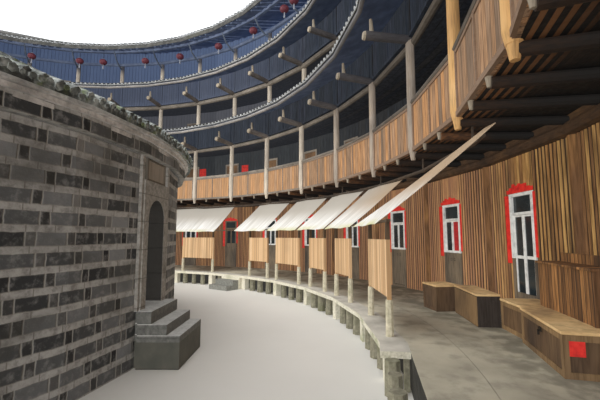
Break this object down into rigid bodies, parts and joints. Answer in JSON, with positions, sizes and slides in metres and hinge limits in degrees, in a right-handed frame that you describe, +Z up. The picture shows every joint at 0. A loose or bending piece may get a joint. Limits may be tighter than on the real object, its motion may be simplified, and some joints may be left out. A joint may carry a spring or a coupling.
{
  "type": "tulou roundhouse",
  "caption": "Round earth building with timber galleries over a courtyard, tiled roofs, a round brick hall in the middle and two pairs of turning doors.",
  "frame": {"origin": "on the ground at the middle of the courtyard", "axes": "+Z up; -Y through the main gate; +Y through the near turning door"},
  "size_m": [39.4, 39.232, 13.8352],
  "materials": {
    "earth": "rammed earth, dry, hand finished",
    "rubble": "rough rubble in mortar",
    "stone": "dressed stone, weathered",
    "concrete": "smooth cement floor, worn",
    "brick": "grey brick laid dry of plaster",
    "tile": "dark clay roof tile, unglazed",
    "dark_wood": "dark boards, smoke stained",
    "warm_wood": "orange brown boards, weathered",
    "grey_wood": "grey brown timber, weathered",
    "pale_wood": "pale posts and boards, unpainted",
    "sheet": "thin pale corrugated sheet, stained",
    "white": "off white paint"
  },
  "bodies": {
    "building": {"stone_footing": "rubble", "earth_wall_north": "earth", "earth_wall_west": "earth", "earth_wall_gate": "earth", "earth_wall_east": "earth", "main_gate": "stone", "ground_floor": "concrete", "platform_edge": "stone", "kitchen_wall_between_doors": "dark_wood", "kitchen_wall_west": "dark_wood", "kitchen_wall_east": "dark_wood", "kitchen_wall_beam": "dark_wood", "near_door_frame": "white", "next_door_frame": "white", "floor_2": "dark_wood", "floor_3": "dark_wood", "floor_4": "dark_wood", "balustrade_2": "warm_wood", "balustrade_3": "warm_wood", "balustrade_4": "warm_wood", "gallery_frame_2": "grey_wood", "gallery_frame_3": "grey_wood", "gallery_frame_4": "grey_wood", "room_wall_2": "dark_wood", "room_wall_3": "dark_wood", "room_wall_4": "dark_wood", "pent_roof_3": "tile", "pent_roof_4": "tile", "main_roof_inner": "tile", "main_roof_outer": "tile", "main_ridge": "tile", "hall_wall": "brick", "hall_doorway": "stone", "hall_front_doorway": "stone", "hall_floor": "stone", "hall_roof": "tile", "hall_frame": "grey_wood", "awnings_west": "sheet", "edge_screens_west": "pale_wood", "awnings_east": "sheet", "edge_screens_east": "pale_wood", "bench_with_cupboard": "grey_wood", "chest": "grey_wood"},
    "near_door_leaf_left": {"near_door_leaf_left": "white"},
    "near_door_leaf_right": {"near_door_leaf_right": "white"},
    "next_door_leaf_left": {"next_door_leaf_left": "white"},
    "next_door_leaf_right": {"next_door_leaf_right": "white"}
  },
  "joints": [
    {"name": "near_door_left_hinge", "type": "hinge", "parent": "building", "child": "near_door_leaf_left", "pos_m": [-0.359, 13.57098, 1.5], "axis": [0, 0, 1], "range_deg": [0, 90]},
    {"name": "near_door_right_hinge", "type": "hinge", "parent": "building", "child": "near_door_leaf_right", "pos_m": [0.179, 13.57098, 1.5], "axis": [0, 0, -1], "range_deg": [0, 90]},
    {"name": "next_door_left_hinge", "type": "hinge", "parent": "building", "child": "next_door_leaf_left", "pos_m": [-2.84655, 13.27395, 1.5], "axis": [0, 0, 1], "range_deg": [0, 90]},
    {"name": "next_door_right_hinge", "type": "hinge", "parent": "building", "child": "next_door_leaf_right", "pos_m": [-2.31771, 13.3728, 1.5], "axis": [0, 0, -1], "range_deg": [0, 90]}
  ]
}
